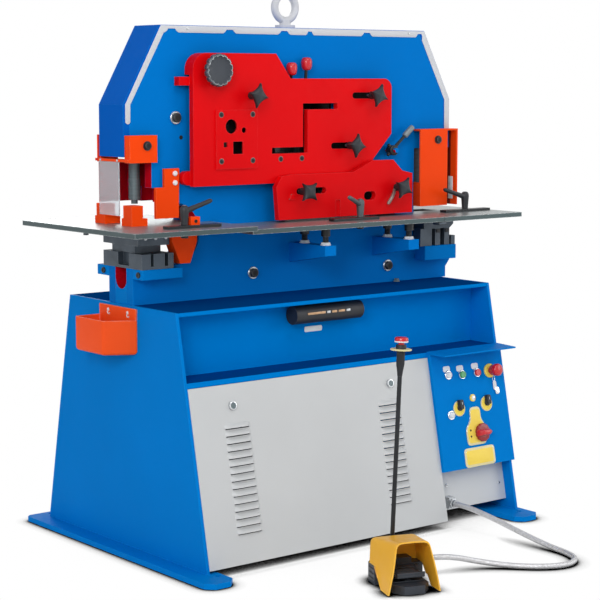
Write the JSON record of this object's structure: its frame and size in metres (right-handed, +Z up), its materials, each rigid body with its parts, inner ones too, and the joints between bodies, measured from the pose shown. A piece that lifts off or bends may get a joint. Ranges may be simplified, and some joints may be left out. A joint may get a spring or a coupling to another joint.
{
  "type": "hydraulic ironworker machine",
  "caption": "Twin-plate hydraulic ironworker on a cabinet, with punch, bar, angle and flat shears, a notcher, work table, control panel and foot switch.",
  "frame": {"origin": "on the floor, at the centre of the rectangle of the anchor holes, below the middle of the cabinet", "axes": "+X to the right along the front, +Y from the operator to the back, +Z up"},
  "size_m": [1.57, 1.4857, 1.706],
  "materials": {
    "blue_paint": "satin powder coat",
    "grey_paint": "satin powder coat",
    "orange_paint": "satin paint",
    "red_paint": "satin paint",
    "black_steel": "blackened steel",
    "dark_steel": "dark machined steel",
    "bright_steel": "ground steel",
    "hose_metal": "zinc-plated ribbed strip",
    "black_plastic": "matt moulded plastic",
    "yellow_plastic": "moulded plastic",
    "green_plastic": "moulded plastic",
    "red_plastic": "moulded plastic",
    "clear_sheet": "clear polycarbonate sheet"
  },
  "bodies": {
    "machine": {"left_side_panel": "blue_paint", "right_side_panel": "blue_paint", "rear_panel": "blue_paint", "top_deck": "blue_paint", "front_cover": "grey_paint", "lower_cover": "grey_paint", "control_box": "blue_paint", "slug_tray": "orange_paint", "tool_tube": "black_plastic", "power_pack": "dark_steel", "frame_front_plate": "blue_paint", "frame_rear_plate": "blue_paint", "end_hood": "blue_paint", "eye_bolt": "grey_paint", "machine_bolts": "dark_steel", "frame_spacers": "dark_steel", "die_bases": "blue_paint", "die_blocks": "dark_steel", "work_table": "bright_steel", "punch_guard": "orange_paint", "guard_window": "clear_sheet", "punch_stripper": "orange_paint", "notch_guard": "orange_paint", "holddown_plate": "red_paint", "bar_shear_plate": "red_paint", "shear_holddown": "red_paint", "panel_fittings": "yellow_plastic", "hose_gland": "bright_steel", "conduit_hose": "hose_metal", "pedal_base": "black_plastic", "pedal_guard": "yellow_plastic", "estop_post": "black_steel"},
    "punch": {"punch_ram": "dark_steel"},
    "beam": {"shear_beam": "dark_steel"},
    "rod": {"shear_rod": "bright_steel"},
    "handwheel": {"round_knob": "black_plastic"},
    "star_1": {"star_knob_1": "black_plastic"},
    "star_2": {"star_knob_2": "black_plastic"},
    "star_3": {"star_knob_3": "black_plastic"},
    "star_4": {"star_knob_4": "black_plastic"},
    "star_5": {"star_knob_5": "black_plastic"},
    "ball_1": {"ball_lever_1": "red_paint"},
    "ball_2": {"ball_lever_2": "red_paint"},
    "clamp": {"clamp_handle": "dark_steel"},
    "fence_1": {"fence_bar_1": "black_steel"},
    "fence_1_arm": {"fence_lever_1": "black_plastic"},
    "fence_2": {"fence_bar_2": "black_steel"},
    "fence_2_arm": {"fence_lever_2": "black_plastic"},
    "fence_3": {"fence_bar_3": "black_steel"},
    "fence_3_arm": {"fence_lever_3": "black_plastic"},
    "green": {"green_button": "green_plastic"},
    "red": {"red_button": "red_plastic"},
    "panel_stop": {"panel_estop": "red_plastic"},
    "select_left": {"selector_left": "black_plastic"},
    "select_right": {"selector_right": "black_plastic"},
    "main_handle": {"main_switch": "red_plastic"},
    "lock_left": {"cover_lock_left": "bright_steel"},
    "lock_right": {"cover_lock_right": "bright_steel"},
    "pedal": {"foot_pedal": "black_plastic"},
    "post_stop": {"post_estop": "red_plastic"}
  },
  "joints": [
    {"name": "punch_stroke", "type": "slide", "parent": "machine", "child": "punch", "axis": [0, 0, -1], "range_m": [0, 0.064]},
    {"name": "beam_swing", "type": "hinge", "parent": "machine", "child": "beam", "pos_m": [-0.408, 0.002, 1.135], "axis": [0, 1, 0], "range_deg": [0, 3.6]},
    {"name": "rod_stroke", "type": "slide", "parent": "machine", "child": "rod", "axis": [0, 0, -1], "range_m": [0, 0.0405]},
    {"name": "handwheel_turn", "type": "hinge", "parent": "machine", "child": "handwheel", "pos_m": [-0.36, -0.126, 1.453], "axis": [0, 1, 0], "continuous": true},
    {"name": "star_1_turn", "type": "hinge", "parent": "machine", "child": "star_1", "pos_m": [-0.218, -0.136, 1.377], "axis": [0, 1, 0], "continuous": true},
    {"name": "star_2_turn", "type": "hinge", "parent": "machine", "child": "star_2", "pos_m": [0.268, -0.136, 1.375], "axis": [0, 1, 0], "continuous": true},
    {"name": "star_3_turn", "type": "hinge", "parent": "machine", "child": "star_3", "pos_m": [0.176, -0.136, 1.216], "axis": [0, 1, 0], "continuous": true},
    {"name": "star_4_turn", "type": "hinge", "parent": "machine", "child": "star_4", "pos_m": [-0.038, -0.156, 1.078], "axis": [0, 1, 0], "continuous": true},
    {"name": "star_5_turn", "type": "hinge", "parent": "machine", "child": "star_5", "pos_m": [0.357, -0.156, 1.076], "axis": [0, 1, 0], "continuous": true},
    {"name": "ball_1_swing", "type": "hinge", "parent": "machine", "child": "ball_1", "pos_m": [-0.038, -0.076, 1.4], "axis": [0, 1, 0], "range_deg": [-12, 10]},
    {"name": "ball_2_swing", "type": "hinge", "parent": "machine", "child": "ball_2", "pos_m": [0.022, -0.076, 1.4], "axis": [0, 1, 0], "range_deg": [-10, 12]},
    {"name": "clamp_swing", "type": "hinge", "parent": "machine", "child": "clamp", "pos_m": [0.377, -0.089, 1.195], "axis": [0, 1, 0], "range_deg": [-20, 15]},
    {"name": "fence_1_slide", "type": "slide", "parent": "machine", "child": "fence_1", "axis": [1, 0, 0], "range_m": [-0.03, 0.03]},
    {"name": "fence_1_clamp", "type": "hinge", "parent": "fence_1", "child": "fence_1_arm", "pos_m": [-0.554, -0.232, 1.02], "axis": [0, 0, 1], "range_deg": [-75, 30]},
    {"name": "fence_2_slide", "type": "slide", "parent": "machine", "child": "fence_2", "axis": [1, 0, 0], "range_m": [-0.03, 0.03]},
    {"name": "fence_2_clamp", "type": "hinge", "parent": "fence_2", "child": "fence_2_arm", "pos_m": [0.152, -0.193, 1.02], "axis": [0, 0, 1], "range_deg": [-10, 75]},
    {"name": "fence_3_slide", "type": "slide", "parent": "machine", "child": "fence_3", "axis": [1, 0, 0], "range_m": [-0.03, 0.03]},
    {"name": "fence_3_clamp", "type": "hinge", "parent": "fence_3", "child": "fence_3_arm", "pos_m": [0.666, -0.136, 1.02], "axis": [0, 0, 1], "range_deg": [-15, 75]},
    {"name": "green_push", "type": "slide", "parent": "machine", "child": "green", "axis": [0, 0.9801, -0.1987], "range_m": [0, 0.004], "stiffness_N_per_m": 500, "springref_m": -0.004},
    {"name": "red_push", "type": "slide", "parent": "machine", "child": "red", "axis": [0, 0.9801, -0.1987], "range_m": [0, 0.004], "stiffness_N_per_m": 500, "springref_m": -0.004},
    {"name": "panel_stop_push", "type": "slide", "parent": "machine", "child": "panel_stop", "axis": [0, 0.9801, -0.1987], "range_m": [0, 0.005], "stiffness_N_per_m": 500, "springref_m": -0.004},
    {"name": "left_select", "type": "hinge", "parent": "machine", "child": "select_left", "pos_m": [0.412, -0.38392, 0.373], "axis": [0, -0.9801, 0.1987], "range_deg": [-45, 45]},
    {"name": "right_select", "type": "hinge", "parent": "machine", "child": "select_right", "pos_m": [0.535, -0.38331, 0.376], "axis": [0, -0.9801, 0.1987], "range_deg": [-45, 45]},
    {"name": "main_turn", "type": "hinge", "parent": "machine", "child": "main_handle", "pos_m": [0.495, -0.40196, 0.284], "axis": [0, -0.9801, 0.1987], "range_deg": [-90, 0]},
    {"name": "left_lock_turn", "type": "hinge", "parent": "machine", "child": "lock_left", "pos_m": [-0.473, -0.34855, 0.477], "axis": [0, -0.9801, 0.1987], "range_deg": [0, 90]},
    {"name": "right_lock_turn", "type": "hinge", "parent": "machine", "child": "lock_right", "pos_m": [0.141, -0.34855, 0.477], "axis": [0, -0.9801, 0.1987], "range_deg": [0, 90]},
    {"name": "pedal_press", "type": "hinge", "parent": "machine", "child": "pedal", "pos_m": [-0.21869, -0.80875, 0.045], "axis": [0.9397, -0.342, 0], "range_deg": [0, 9], "stiffness_Nm_per_rad": 4, "springref_deg": -11.46},
    {"name": "post_stop_push", "type": "slide", "parent": "machine", "child": "post_stop", "axis": [-0.0523, 0, -0.9986], "range_m": [0, 0.005], "stiffness_N_per_m": 500, "springref_m": -0.004}
  ],
  "couplings": [
    {"joint": "rod_stroke", "follows": "beam_swing", "m_per_rad": 0.64}
  ]
}
